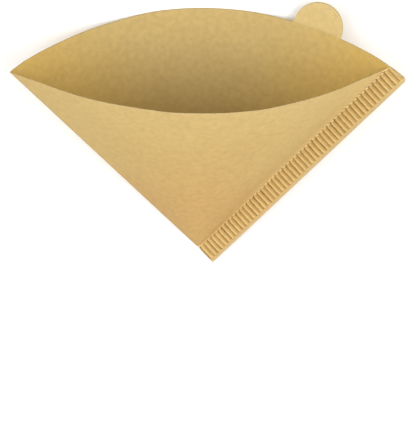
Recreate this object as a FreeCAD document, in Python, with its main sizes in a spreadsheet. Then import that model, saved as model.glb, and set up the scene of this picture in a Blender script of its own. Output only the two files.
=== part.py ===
# Paper coffee filter, opened and lying on its back panel.
#
# The filter is one sheet of soft creped paper. The blank is cut with a round rim and a
# grip tab, folded once, and its two open sides are pressed together by a row of crimps,
# so that it makes a pointed pouch with a fold on one side and a seam on the other.
# Both panels are the same flat sector. Opened, each one bends about straight lines
# through the apex only: the back panel has a flat belly and a round side each way, and
# the front panel has a round middle and a flat flank each way. The seam stands off the
# corner where the two panels meet, and each crimp is a ridge in front and a hollow behind.
#
# Frame: X to the seam side, Y to the mouth, Z up. The origin lies on the floor, in the
# middle of the flat belly. Sizes are in millimetres and degrees.
import FreeCAD, Part
import Sketcher

import math
import os

from FreeCAD import Matrix, Placement, Rotation, Vector

SIZES = {
    # sheet
    "paper": 0.22,
    "slant_length": 120.0,
    "rim_dip": 14.8,
    "panel_angle": 90.0,
    # pouch as it stands open
    "mouth_angle": 79.1,
    "belly_angle": 16.0,
    "flank_angle": 10.0,
    "fold_swell": 0.08,
    # grip tab
    "tab_radius": 10.8,
    "tab_rise": 5.3,
    "tab_angle": 27.3,
    # crimped seam
    "seam_width": 8.9,
    "seam_turn": 30.0,
    "seam_corner": 1.8,
    "crimp_pitch": 2.33,
    "crimp_length": 7.2,
    "crimp_inset": 0.15,
    "crimp_width": 1.3,
    "crimp_crest": 0.6,
    "crimp_height": 0.45,
    "crimp_ramp": 0.35,
    # resting place
    "rest_distance": 62.0,
}

NODE = "paper_filter"
ALONG = Vector(0, 1, 0)
SIDE = Vector(1, 0, 0)
UP = Vector(0, 0, 1)


def solve(error, low, high):
    """Return the value between low and high where error changes its sign."""
    rising = error(high) > error(low)
    for _ in range(60):
        middle = (low + high) / 2
        if (error(middle) > 0) == rising:
            high = middle
        else:
            low = middle
    return (low + high) / 2


def make_sheet(doc):
    """Write the driving dimensions into a spreadsheet, one named cell each."""
    sheet = doc.addObject("Spreadsheet::Sheet", "sizes")
    for row, (name, value) in enumerate(SIZES.items(), start=1):
        sheet.set("A%d" % row, name)
        sheet.set("B%d" % row, str(value))
        sheet.setAlias("B%d" % row, name)
    doc.recompute()
    return sheet


def add_derived(sheet, name, value):
    """Add a worked-out value to the sheet, under the driving dimensions."""
    row = len(SIZES) + 1
    while sheet.getContents("A%d" % row):
        row += 1
    sheet.set("A%d" % row, name)
    sheet.set("B%d" % row, str(value))
    sheet.setAlias("B%d" % row, name)
    sheet.recompute()


def turned(x_axis, y_axis, z_axis):
    """Return the rotation that carries X, Y and Z to the three given directions."""
    columns = (x_axis, y_axis, z_axis)
    rows = [[c.x for c in columns], [c.y for c in columns], [c.z for c in columns]]
    matrix = Matrix(*(rows[0] + [0] + rows[1] + [0] + rows[2] + [0] + [0, 0, 0, 1]))
    return Placement(matrix).Rotation


class BackPanel:
    """Directions on the back panel, from the apex: a flat belly and a round side each way."""

    def __init__(self, sheet):
        self.belly = math.radians(sheet.belly_angle) / 2
        self.side = math.radians(sheet.panel_angle) / 2 - self.belly
        self.reach = math.sin(math.radians(sheet.mouth_angle) / 2)
        self.cone = solve(lambda cone: self.edge_reach(cone) - self.reach, 0.3, 1.5)
        self.wrap = self.side / math.sin(self.cone)
        start = SIDE * math.sin(self.belly) + ALONG * math.cos(self.belly)
        self.across = SIDE * math.cos(self.belly) - ALONG * math.sin(self.belly)
        self.axis = start * math.cos(self.cone) + UP * math.sin(self.cone)
        self.radial = start * math.sin(self.cone) - UP * math.cos(self.cone)

    def edge_reach(self, cone):
        """Return how far sideways the panel's edge points when its side has this cone angle."""
        wrap = self.side / math.sin(cone)
        along = math.cos(cone) ** 2 + math.sin(cone) ** 2 * math.cos(wrap)
        across = math.sin(cone) * math.sin(wrap)
        return math.sin(self.belly) * along + math.cos(self.belly) * across

    def direction(self, angle):
        """Return the direction of the straight line at this flat angle from the middle."""
        if angle <= self.belly:
            return SIDE * math.sin(angle) + ALONG * math.cos(angle)
        return self.axis * math.cos(self.cone) + self.outward(angle) * math.sin(self.cone)

    def outward(self, angle):
        """Return the direction away from the cone's axis at this flat angle."""
        turn = (angle - self.belly) / math.sin(self.cone)
        return self.radial * math.cos(turn) + self.across * math.sin(turn)

    def normal(self, angle):
        """Return the direction out of the pouch at this flat angle on the round side."""
        return self.outward(angle) * math.cos(self.cone) - self.axis * math.sin(self.cone)


class FrontPanel:
    """Directions on the front panel, from the apex: a round middle and a flat flank each way."""

    def __init__(self, sheet, back):
        self.flank = math.radians(sheet.flank_angle)
        self.middle = math.radians(sheet.panel_angle) / 2 - self.flank
        # The paper can't bend more than half way round the cone.
        low, high = self.middle + 1e-6, math.pi
        self.wrap = solve(lambda wrap: self.edge_reach(wrap) - back.reach, low, high)
        self.cone = math.asin(self.middle / self.wrap)
        # The edge has to fall on the back panel's edge, which sets the lean of the cone.
        self.axis = UP
        self.radial = ALONG
        edge = self.direction(self.middle + self.flank)
        back_edge = back.direction(back.belly + back.side)
        lean = math.atan2(back_edge.z, back_edge.y) - math.atan2(edge.y, edge.z)
        self.axis = ALONG * math.cos(lean) + UP * math.sin(lean)
        self.radial = UP * math.cos(lean) - ALONG * math.sin(lean)

    def edge_reach(self, wrap):
        """Return how far sideways the panel's edge points when its middle wraps this far."""
        round_part = math.sin(wrap) * self.middle / wrap
        return math.cos(self.flank) * round_part + math.sin(self.flank) * math.cos(wrap)

    def outward(self, turn):
        """Return the direction away from the cone's axis after this turn about it."""
        return self.radial * math.cos(turn) + SIDE * math.sin(turn)

    def across(self, turn):
        """Return the direction across the straight lines after this turn about the axis."""
        return SIDE * math.cos(turn) - self.radial * math.sin(turn)

    def direction(self, angle):
        """Return the direction of the straight line at this flat angle from the middle."""
        turn = min(angle, self.middle) / math.sin(self.cone)
        line = self.axis * math.cos(self.cone) + self.outward(turn) * math.sin(self.cone)
        if angle <= self.middle:
            return line
        flat = angle - self.middle
        return line * math.cos(flat) + self.across(turn) * math.sin(flat)


class Rim:
    """The cut rim: in the flat sheet it is one arc through the fold, the middle and the seam."""

    def __init__(self, sheet):
        self.half = math.radians(sheet.panel_angle) / 2
        slant = sheet.slant_length
        self.height = slant - sheet.rim_dip
        short = self.height - slant * math.cos(self.half)
        self.drop = (slant ** 2 - self.height ** 2) / (2 * short)
        self.radius = self.height + self.drop

    def distance(self, angle):
        """Return how far the rim lies from the apex at this flat angle from the middle."""
        across = self.drop * math.sin(angle)
        return math.sqrt(self.radius ** 2 - across ** 2) - self.drop * math.cos(angle)

    def ball(self, panel):
        """Return the centre and radius of the ball that cuts the bent panel at the rim.

        It passes through the rim at the middle, at the quarter points and at both ends,
        and its centre lies in the plane of symmetry.
        """
        rows = []
        for share in (0.0, 0.5, 1.0):
            angle = share * self.half
            point = panel.direction(angle) * self.distance(angle)
            rows.append((2 * point.y, 2 * point.z, -1.0, point.Length ** 2))
        matrix = Matrix(*(list(rows[0][:3]) + [0] + list(rows[1][:3]) + [0] + list(rows[2][:3])
                          + [0] + [0, 0, 0, 1]))
        answer = matrix.inverse().multVec(Vector(rows[0][3], rows[1][3], rows[2][3]))
        centre = Vector(0, answer.x, answer.y)
        return centre, math.sqrt(centre.Length ** 2 - answer.z)


def origin_feature(body, role):
    """Return one of the body's own origin planes or axes."""
    return next(feature for feature in body.Origin.OriginFeatures if feature.Role == role)


def new_body(doc, name, rotation=None):
    """Add a body whose origin is the inner apex of the pouch."""
    body = doc.addObject("PartDesign::Body", name)
    body.Placement = Placement(Vector(0, 0, 0), rotation or Rotation())
    place_at_apex(body)
    return body


def place_at_apex(thing, offset=Vector(0, 0, 0)):
    """Tie an object's place to the apex, which the paper's thickness lifts off the floor."""
    thing.setExpression("Placement.Base.x", "%.9f mm" % offset.x)
    thing.setExpression("Placement.Base.y", "%.9f mm - sizes.rest_distance * 1 mm" % offset.y)
    thing.setExpression("Placement.Base.z", "%.9f mm + sizes.paper * 1 mm" % offset.z)


def new_sketch(body, name, rotation=None):
    """Add a sketch through the apex, on the body's XY plane or turned from it."""
    sketch = body.newObject("Sketcher::SketchObject", name)
    sketch.AttachmentSupport = [(origin_feature(body, "XY_Plane"), "")]
    sketch.MapMode = "FlatFace"
    sketch.AttachmentOffset = Placement(Vector(0, 0, 0), rotation or Rotation())
    return sketch


def bind(sketch, constraint, name, expression):
    """Add one constraint, name it and bind it to the sheet."""
    index = sketch.addConstraint(constraint)
    sketch.renameConstraint(index, name)
    sketch.setExpression("Constraints." + name, expression)


def draw_strip(sketch, cone, skin, length, lean):
    """Draw the paper's section along one straight line, the cone's axis being upright."""
    line = Vector(math.sin(cone), math.cos(cone), 0) * length
    out = Vector(math.cos(cone), -math.sin(cone), 0) * skin
    corners = [Vector(0, 0, 0), line, line + out, out]
    for number in range(4):
        sketch.addGeometry(Part.LineSegment(corners[number], corners[(number + 1) % 4]))
    for number in range(4):
        follower = (number + 1) % 4
        sketch.addConstraint(Sketcher.Constraint("Coincident", number, 2, follower, 1))
    sketch.addConstraint(Sketcher.Constraint("Coincident", 0, 1, -1, 1))
    sketch.addConstraint(Sketcher.Constraint("Parallel", 0, 2))
    sketch.addConstraint(Sketcher.Constraint("Perpendicular", 0, 1))
    sketch.addConstraint(Sketcher.Constraint("Perpendicular", 0, 3))
    bind(sketch, Sketcher.Constraint("Distance", 0, length), "reach", "sizes.blank_reach")
    bind(sketch, Sketcher.Constraint("Distance", 3, skin), "skin", "sizes.paper")
    bind(sketch, Sketcher.Constraint("Angle", 0, 1, -2, 1, cone), "lean", lean)


def draw_sector(sketch, left, right, length, opening):
    """Draw a flat sector from the apex, between two angles measured from the upright line."""
    ends = [Vector(math.sin(angle), math.cos(angle), 0) * length for angle in (left, right)]
    corners = [Vector(0, 0, 0)] + ends
    for number in range(3):
        sketch.addGeometry(Part.LineSegment(corners[number], corners[(number + 1) % 3]))
    for number in range(3):
        follower = (number + 1) % 3
        sketch.addConstraint(Sketcher.Constraint("Coincident", number, 2, follower, 1))
    sketch.addConstraint(Sketcher.Constraint("Coincident", 0, 1, -1, 1))
    sketch.addConstraint(Sketcher.Constraint("Equal", 0, 2))
    bind(sketch, Sketcher.Constraint("Distance", 0, length), "reach", "sizes.blank_reach")
    between = Sketcher.Constraint("Angle", 2, 2, 0, 1, right - left)
    bind(sketch, between, "opening", opening)


def add_pad(body, name, sketch, length, reversed_side=False, midplane=False):
    """Pad a sketch by a length from the sheet."""
    pad = body.newObject("PartDesign::Pad", name)
    pad.Profile = sketch
    pad.setExpression("Length", length)
    pad.Reversed = reversed_side
    pad.Midplane = midplane
    return pad


def add_wrap(body, name, sketch, angle, midplane=False):
    """Turn the strip about the cone's axis, as the paper bends."""
    wrap = body.newObject("PartDesign::Revolution", name)
    wrap.Profile = sketch
    wrap.ReferenceAxis = (sketch, ["V_Axis"])
    wrap.Midplane = midplane
    wrap.Reversed = not midplane
    wrap.setExpression("Angle", angle)
    return wrap


def add_mirror(body, name, features):
    """Mirror features about the plane of symmetry."""
    mirror = body.newObject("PartDesign::Mirrored", name)
    mirror.Originals = features
    mirror.MirrorPlane = (origin_feature(body, "YZ_Plane"), [""])
    body.Tip = mirror
    return mirror


def build_back(doc, sheet, back):
    """Build the uncut back panel: the flat belly and a round side each way."""
    body = new_body(doc, "back_panel")
    length = sheet.blank_reach
    belly = new_sketch(body, "belly_outline")
    draw_sector(belly, -back.belly, back.belly, length, "sizes.belly_angle * 1 deg")
    half = Sketcher.Constraint("Angle", -2, 1, 0, 1, back.belly)
    bind(belly, half, "half", "sizes.belly_angle * 1 deg / 2")
    add_pad(body, "belly", belly, "sizes.paper", reversed_side=True)
    section = new_sketch(body, "side_section", turned(back.radial, back.axis, back.across))
    draw_strip(section, back.cone, sheet.paper, length, "sizes.side_cone * 1 deg")
    side = add_wrap(body, "side", section, "sizes.side_wrap * 1 deg")
    add_mirror(body, "other_side", [side])
    return body


def build_front(doc, sheet, front):
    """Build the uncut front panel: the round middle and a flat flank each way."""
    body = new_body(doc, "front_panel")
    length = sheet.blank_reach
    section = new_sketch(body, "middle_section", turned(front.radial, front.axis, SIDE * -1))
    draw_strip(section, front.cone, sheet.paper, length, "sizes.middle_cone * 1 deg")
    add_wrap(body, "middle", section, "sizes.middle_wrap * 2 deg", midplane=True)
    line = front.direction(front.middle)
    across = front.across(front.wrap)
    outline = new_sketch(body, "flank_outline", turned(across, line, across.cross(line)))
    draw_sector(outline, 0.0, front.flank, length, "sizes.flank_angle * 1 deg")
    outline.addConstraint(Sketcher.Constraint("Vertical", 0))
    flank = add_pad(body, "flank", outline, "sizes.paper")
    add_mirror(body, "other_flank", [flank])
    return body


def add_ball(doc, name, rim, panel):
    """Add the ball whose skin cuts a bent panel at the rim."""
    centre, radius = rim.ball(panel)
    ball = doc.addObject("Part::Sphere", name)
    ball.Radius = radius
    place_at_apex(ball, centre)
    return ball


def add_boolean(doc, kind, name, base, tool):
    """Add a Common, Cut or Fuse of two shapes."""
    result = doc.addObject("Part::" + kind, name)
    result.Base = base
    result.Tool = tool
    return result


def cut_back(doc, sheet, rim, back, panel):
    """Cut the back panel at the rim, leaving the round-ended grip tab beyond it."""
    angle = math.radians(sheet.tab_angle)
    line = back.direction(angle)
    normal = back.normal(angle)
    across = line.cross(normal)
    facing = turned(across, line, normal)
    # Both punches reach as far inside the paper as outside it.
    reach = rim.height + sheet.tab_rise
    centre = line * reach - normal * (sheet.tab_radius / 2)
    end = doc.addObject("Part::Cylinder", "tab_end")
    end.setExpression("Radius", "sizes.tab_radius")
    end.setExpression("Height", "sizes.tab_radius")
    end.Placement = Placement(Vector(0, 0, 0), facing)
    place_at_apex(end, centre)
    neck = doc.addObject("Part::Box", "tab_neck")
    neck.setExpression("Length", "sizes.tab_radius * 2")
    neck.setExpression("Width", "sizes.tab_rise")
    neck.setExpression("Height", "sizes.tab_radius")
    neck.Placement = Placement(Vector(0, 0, 0), facing)
    root = across * sheet.tab_radius + line * sheet.tab_rise
    place_at_apex(neck, centre - root)
    outline = doc.addObject("Part::MultiFuse", "back_outline")
    outline.Shapes = [add_ball(doc, "back_ball", rim, back), end, neck]
    return add_boolean(doc, "Common", "back_cut", panel, outline)


def add_bead(doc, name, direction):
    """Add the rounded edge along the fold or the foot of the seam."""
    bead = doc.addObject("Part::Cylinder", name)
    bead.setExpression("Radius", "sizes.paper + sizes.fold_swell")
    bead.setExpression("Height", "sizes.slant_length")
    bead.Placement = Placement(Vector(0, 0, 0), Rotation(UP, direction))
    place_at_apex(bead)
    return bead


def build_edges(doc, sheet, foot):
    """Build the fold, the foot of the seam and the blunt tip, pressed flat at the floor."""
    tip = doc.addObject("Part::Sphere", "tip")
    tip.setExpression("Radius", "sizes.paper + sizes.fold_swell")
    place_at_apex(tip)
    edges = doc.addObject("Part::MultiFuse", "edges")
    fold = Vector(-foot.x, foot.y, foot.z)
    edges.Shapes = [add_bead(doc, "fold", fold), add_bead(doc, "seam_foot", foot), tip]
    floor = doc.addObject("Part::Box", "floor")
    for side in ("Length", "Width", "Height"):
        floor.setExpression(side, "sizes.slant_length * 2")
    size = sheet.slant_length * 2
    place_at_apex(floor, Vector(-size / 2, -size / 2, -size - sheet.paper))
    return add_boolean(doc, "Cut", "pressed_edges", edges, floor)


def draw_seam(sketch, sheet, rim):
    """Draw the seam's outline: X runs along its foot from the apex, Y across it."""
    slant, width, corner = sheet.slant_length, sheet.seam_width, sheet.seam_corner
    centre = Vector(-rim.drop * math.cos(rim.half), rim.drop * math.sin(rim.half), 0)
    # The corner's arc lies inside the rim's and touches the outer edge.
    level = width - corner
    reach = math.sqrt((rim.radius - corner) ** 2 - (level - centre.y) ** 2)
    middle = Vector(centre.x + reach, level, 0)
    meeting = centre + (middle - centre) * (rim.radius / (rim.radius - corner))
    foot_end = Vector(slant, 0, 0)
    edge_end = Vector(middle.x, width, 0)
    sketch.addGeometry(Part.LineSegment(Vector(0, 0, 0), Vector(0, width, 0)))
    sketch.addGeometry(Part.LineSegment(Vector(0, width, 0), edge_end))
    circle = Part.Circle(centre, UP, rim.radius)
    ends = [circle.parameter(foot_end), circle.parameter(meeting)]
    sketch.addGeometry(Part.ArcOfCircle(circle, ends[0] - 2 * math.pi, ends[1] - 2 * math.pi))
    sketch.addGeometry(Part.LineSegment(foot_end, Vector(0, 0, 0)))
    rounding = Part.Circle(middle, UP, corner)
    start = rounding.parameter(meeting) - 2 * math.pi
    sketch.addGeometry(Part.ArcOfCircle(rounding, start, math.pi / 2))
    sketch.addConstraint(Sketcher.Constraint("Coincident", 0, 2, 1, 1))
    sketch.addConstraint(Sketcher.Constraint("Coincident", 2, 1, 3, 1))
    sketch.addConstraint(Sketcher.Constraint("Coincident", 3, 2, 0, 1))
    sketch.addConstraint(Sketcher.Constraint("Coincident", 0, 1, -1, 1))
    sketch.addConstraint(Sketcher.Constraint("Tangent", 1, 2, 4, 2))
    sketch.addConstraint(Sketcher.Constraint("Tangent", 4, 1, 2, 2))
    sketch.addConstraint(Sketcher.Constraint("Vertical", 0))
    sketch.addConstraint(Sketcher.Constraint("Horizontal", 1))
    sketch.addConstraint(Sketcher.Constraint("Horizontal", 3))
    bind(sketch, Sketcher.Constraint("Distance", 0, width), "width", "sizes.seam_width")
    bind(sketch, Sketcher.Constraint("Distance", 3, slant), "foot", "sizes.slant_length")
    bind(sketch, Sketcher.Constraint("Radius", 2, rim.radius), "rim", "sizes.rim_radius")
    bind(sketch, Sketcher.Constraint("Radius", 4, corner), "corner", "sizes.seam_corner")
    drop = Sketcher.Constraint("DistanceX", 2, 3, -1, 1, -centre.x)
    bind(sketch, drop, "drop", "sizes.rim_drop * cos(sizes.panel_angle * 1 deg / 2)")


def add_crimp(body, kind, name, foot):
    """Add one crimp's wedge, raised toward the front from the given height."""
    wedge = body.newObject("PartDesign::" + kind, name)
    wedge.AttachmentSupport = [(origin_feature(body, "XY_Plane"), "")]
    wedge.MapMode = "FlatFace"
    wedge.AttachmentOffset = Placement(Vector(0, 0, 0), Rotation(SIDE, -90))
    middle = "sizes.crimp_pitch / 2"
    start = "sizes.crimp_inset"
    end = "(sizes.crimp_inset + sizes.crimp_length)"
    wedge.setExpression("Xmin", middle + " - sizes.crimp_width / 2")
    wedge.setExpression("Xmax", middle + " + sizes.crimp_width / 2")
    wedge.setExpression("X2min", middle + " - sizes.crimp_crest / 2")
    wedge.setExpression("X2max", middle + " + sizes.crimp_crest / 2")
    wedge.setExpression("Zmin", start)
    wedge.setExpression("Zmax", end)
    wedge.setExpression("Z2min", start + " + sizes.crimp_ramp")
    wedge.setExpression("Z2max", end + " - sizes.crimp_ramp")
    wedge.setExpression("Ymin", foot)
    wedge.setExpression("Ymax", foot + " + sizes.crimp_height")
    return wedge


def build_seam(doc, sheet, rim, back):
    """Build the seam: two plies pressed flat, with a row of crimps across them."""
    half = math.radians(sheet.mouth_angle) / 2
    turn = math.radians(sheet.seam_turn)
    foot = back.direction(rim.half)
    bisector = Vector(0, foot.y, foot.z).normalize()
    backward = Vector(0, bisector.z, -bisector.y)
    level = SIDE * math.cos(half) - bisector * math.sin(half)
    across = level * math.cos(turn) - backward * math.sin(turn)
    body = new_body(doc, "seam", turned(foot, across, foot.cross(across)))
    outline = new_sketch(body, "seam_outline")
    draw_seam(outline, sheet, rim)
    add_pad(body, "plies", outline, "sizes.paper * 2", midplane=True)
    ridge = add_crimp(body, "AdditiveWedge", "ridge", "sizes.paper")
    hollow = add_crimp(body, "SubtractiveWedge", "hollow", "-sizes.paper")
    row = body.newObject("PartDesign::LinearPattern", "crimps")
    row.Originals = [ridge, hollow]
    row.Direction = (origin_feature(body, "X_Axis"), [""])
    row.setExpression("Occurrences", "floor(sizes.slant_length / sizes.crimp_pitch)")
    row.setExpression("Length", "sizes.crimp_pitch * (Occurrences - 1)")
    body.Tip = row
    return body


def check(doc):
    """Stop if any object failed or has no valid shape."""
    for thing in doc.Objects:
        if "Invalid" in thing.State or "Error" in thing.State:
            raise RuntimeError("%s failed: %s" % (thing.Name, thing.State))
        solid_kind = thing.TypeId.startswith(("Part::", "PartDesign::"))
        if solid_kind and (thing.Shape.isNull() or not thing.Shape.isValid()):
            raise RuntimeError("%s has no valid shape" % thing.Name)


def main():
    """Build the filter and write its shape."""
    doc = FreeCAD.newDocument("paper_coffee_filter")
    sheet = make_sheet(doc)
    rim = Rim(sheet)
    back = BackPanel(sheet)
    front = FrontPanel(sheet, back)
    tab_end = rim.height + sheet.tab_rise + sheet.tab_radius
    add_derived(sheet, "blank_reach", max(sheet.slant_length, tab_end) + sheet.tab_radius)
    add_derived(sheet, "rim_drop", rim.drop)
    add_derived(sheet, "rim_radius", rim.radius)
    add_derived(sheet, "side_cone", math.degrees(back.cone))
    add_derived(sheet, "side_wrap", math.degrees(back.wrap))
    add_derived(sheet, "middle_cone", math.degrees(front.cone))
    add_derived(sheet, "middle_wrap", math.degrees(front.wrap))

    front_body = build_front(doc, sheet, front)
    front_ball = add_ball(doc, "front_ball", rim, front)
    front_cut = add_boolean(doc, "Common", "front_cut", front_body, front_ball)
    back_cut = cut_back(doc, sheet, rim, back, build_back(doc, sheet, back))
    edges = build_edges(doc, sheet, back.direction(rim.half))
    seam = build_seam(doc, sheet, rim, back)
    seamed = add_boolean(doc, "Fuse", "seamed_edges", edges, seam)
    lower = add_boolean(doc, "Fuse", "lower_sheet", seamed, back_cut)
    filter_shape = add_boolean(doc, "Fuse", NODE, lower, front_cut)
    filter_shape.Label = NODE
    doc.recompute()
    check(doc)
    shape = filter_shape.Shape
    if len(shape.Solids) != 1:
        raise RuntimeError("the sheet came out as %d solids" % len(shape.Solids))
    os.makedirs("parts", exist_ok=True)
    shape.exportStep("parts/%s.step" % filter_shape.Label)
    print("%s: %.1f mm3, %s" % (NODE, shape.Volume, shape.BoundBox))


main()
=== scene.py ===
"""Opened paper coffee filter, lying on its back panel on a pale table.

The filter is one sheet of soft creped paper. The blank is folded once, and its two open sides
are pressed together by a row of crimps. Opened, each panel bends about straight lines through
the apex. Sizes are in millimetres and degrees, and the meshes are handed over in metres, with
X to the seam side, Y to the mouth and Z up.
"""

import logging
import math
from collections.abc import Callable
from dataclasses import dataclass, field
from enum import Enum

import bmesh
import bpy
from mathutils import Matrix, Vector, noise


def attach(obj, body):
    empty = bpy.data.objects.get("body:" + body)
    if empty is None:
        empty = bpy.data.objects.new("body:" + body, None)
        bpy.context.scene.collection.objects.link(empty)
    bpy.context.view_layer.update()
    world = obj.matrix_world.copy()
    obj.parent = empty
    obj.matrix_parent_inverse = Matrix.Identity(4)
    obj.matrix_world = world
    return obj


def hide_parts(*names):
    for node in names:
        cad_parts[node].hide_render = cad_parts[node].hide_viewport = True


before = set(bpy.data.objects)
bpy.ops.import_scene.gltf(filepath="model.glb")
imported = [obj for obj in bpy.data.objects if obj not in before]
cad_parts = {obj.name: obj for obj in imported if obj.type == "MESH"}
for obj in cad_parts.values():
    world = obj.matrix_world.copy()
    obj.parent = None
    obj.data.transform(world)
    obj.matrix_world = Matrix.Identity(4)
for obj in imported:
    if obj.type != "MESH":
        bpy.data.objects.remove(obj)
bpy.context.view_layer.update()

LOG = logging.getLogger("paper_filter")
MM = 0.001
SAME_ANGLE = 1e-6
HALF_CELL = 0.5
SIDE = Vector((1.0, 0.0, 0.0))
ALONG = Vector((0.0, 1.0, 0.0))
UP = Vector((0.0, 0.0, 1.0))

Span = tuple[float, float]
Triple = tuple[float, float, float]
Socket = bpy.types.NodeSocket
Value = Socket | float | tuple[float, ...]


class Ply(Enum):
    """The two halves of the folded blank."""

    BACK = 0
    FRONT = 1


class Zone(Enum):
    """What a column of the blank's grid belongs to."""

    PANEL = "panel"
    TAB = "tab"
    SEAM = "seam"


def solve(error: Callable[[float], float], low: float, high: float, halvings: int = 60) -> float:
    """Find where a function of one number changes its sign.

    Args:
        error: The function, with different signs at the two ends.
        low: The lower end.
        high: The upper end.
        halvings: How often the stretch between the ends is halved.

    Returns:
        The number at which the function is nought.
    """
    rising = error(high) > error(low)
    for _ in range(halvings):
        middle = (low + high) / 2
        if (error(middle) > 0) == rising:
            high = middle
        else:
            low = middle
    return (low + high) / 2


def spread(start: float, stop: float, count: int) -> list[float]:
    """Return count even steps from start, leaving out stop itself."""
    return [start + (stop - start) * step / count for step in range(count)]


def smooth(value: float, low: float, high: float) -> float:
    """Return a soft step that is 0 at low and 1 at high."""
    share = min(max((value - low) / (high - low), 0.0), 1.0)
    return share * share * (3 - 2 * share)


@dataclass(frozen=True)
class Hump:
    """A soft rise on a panel, whose place is a flat angle from the panel's middle line.

    It is full up to top away from its own middle, and gone from foot away.
    """

    height: float
    middle: float
    top: float
    foot: float

    def at(self, turn: float) -> float:
        """Return the rise at a flat angle."""
        return self.height * (1 - smooth(abs(turn - self.middle), self.top, self.foot))


@dataclass
class Pouch:
    """How the sheet is cut and how far it stands open."""

    paper: float = 0.22
    slant: float = 120.0
    rim_dip: float = 14.8
    mouth_angle: float = 79.1
    belly_angle: float = 16.0
    flank_angle: float = 10.0
    panel_angle: float = 90.0
    seam_width: float = 8.9
    seam_corner: float = 1.8
    rest_distance: float = 62.0

    @property
    def half(self) -> float:
        """Half the flat angle of a panel, in radians."""
        return math.radians(self.panel_angle) / 2

    @property
    def apex(self) -> Vector:
        """The inner apex of the pouch."""
        return Vector((0.0, -self.rest_distance, self.paper))

    @property
    def reach(self) -> float:
        """How far sideways the fold and the seam point."""
        return math.sin(math.radians(self.mouth_angle) / 2)


@dataclass
class BackPanel:
    """Directions on the back panel: a flat belly and a round side each way."""

    pouch: Pouch
    narrowest_cone: float = 0.3
    widest_cone: float = 1.5

    def __post_init__(self) -> None:
        """Work out the cone of the round sides."""
        self.belly = math.radians(self.pouch.belly_angle) / 2
        self.side = self.pouch.half - self.belly
        self.cone = solve(lambda cone: self._edge_reach(cone) - self.pouch.reach,
                          self.narrowest_cone, self.widest_cone)
        start = SIDE * math.sin(self.belly) + ALONG * math.cos(self.belly)
        self.across = SIDE * math.cos(self.belly) - ALONG * math.sin(self.belly)
        self.axis = start * math.cos(self.cone) + UP * math.sin(self.cone)
        self.radial = start * math.sin(self.cone) - UP * math.cos(self.cone)

    def _edge_reach(self, cone: float) -> float:
        """Find how far sideways the panel's edge points.

        Args:
            cone: The angle of the round sides' cone.

        Returns:
            The sideways part of the edge's direction.
        """
        wrap = self.side / math.sin(cone)
        along = math.cos(cone) ** 2 + math.sin(cone) ** 2 * math.cos(wrap)
        sideways = math.sin(cone) * math.sin(wrap)
        return math.sin(self.belly) * along + math.cos(self.belly) * sideways

    def line(self, angle: float) -> tuple[Vector, Vector]:
        """Find a straight line of the panel.

        Args:
            angle: The line's flat angle from the middle, in radians.

        Returns:
            The line's direction and the outward normal along it.
        """
        size = abs(angle)
        if size <= self.belly:
            return SIDE * math.sin(angle) + ALONG * math.cos(angle), UP * -1
        turn = (size - self.belly) / math.sin(self.cone)
        outward = self.radial * math.cos(turn) + self.across * math.sin(turn)
        direction = self.axis * math.cos(self.cone) + outward * math.sin(self.cone)
        normal = outward * math.cos(self.cone) - self.axis * math.sin(self.cone)
        if angle < 0:
            direction.x, normal.x = -direction.x, -normal.x
        return direction, normal


@dataclass
class FrontPanel:
    """Directions on the front panel: a round middle and a flat flank each way."""

    pouch: Pouch
    back: BackPanel

    def __post_init__(self) -> None:
        """Work out the cone of the round middle, and lean it on to the back panel's edge."""
        half = self.pouch.half
        self.flank = math.radians(self.pouch.flank_angle)
        self.middle = half - self.flank
        self.wrap = solve(lambda wrap: self._edge_reach(wrap) - self.pouch.reach,
                          self.middle + SAME_ANGLE, math.pi)
        self.cone = math.asin(self.middle / self.wrap)
        self.axis, self.radial = UP, ALONG
        edge = self.line(half)[0]
        back_edge = self.back.line(half)[0]
        lean = math.atan2(back_edge.z, back_edge.y) - math.atan2(edge.y, edge.z)
        self.axis = ALONG * math.cos(lean) + UP * math.sin(lean)
        self.radial = UP * math.cos(lean) - ALONG * math.sin(lean)

    def _edge_reach(self, wrap: float) -> float:
        """Return how far sideways the panel's edge points, with this wrap round the cone."""
        round_part = math.sin(wrap) * self.middle / wrap
        return math.cos(self.flank) * round_part + math.sin(self.flank) * math.cos(wrap)

    def line(self, angle: float) -> tuple[Vector, Vector]:
        """Find a straight line of the panel.

        Args:
            angle: The line's flat angle from the middle, in radians.

        Returns:
            The line's direction and the outward normal along it.
        """
        size = abs(angle)
        turn = min(size, self.middle) / math.sin(self.cone)
        outward = self.radial * math.cos(turn) + SIDE * math.sin(turn)
        across = SIDE * math.cos(turn) - self.radial * math.sin(turn)
        direction = self.axis * math.cos(self.cone) + outward * math.sin(self.cone)
        normal = outward * math.cos(self.cone) - self.axis * math.sin(self.cone)
        flat = max(size - self.middle, 0.0)
        direction = direction * math.cos(flat) + across * math.sin(flat)
        if angle < 0:
            direction.x, normal.x = -direction.x, -normal.x
        return direction, normal


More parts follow.
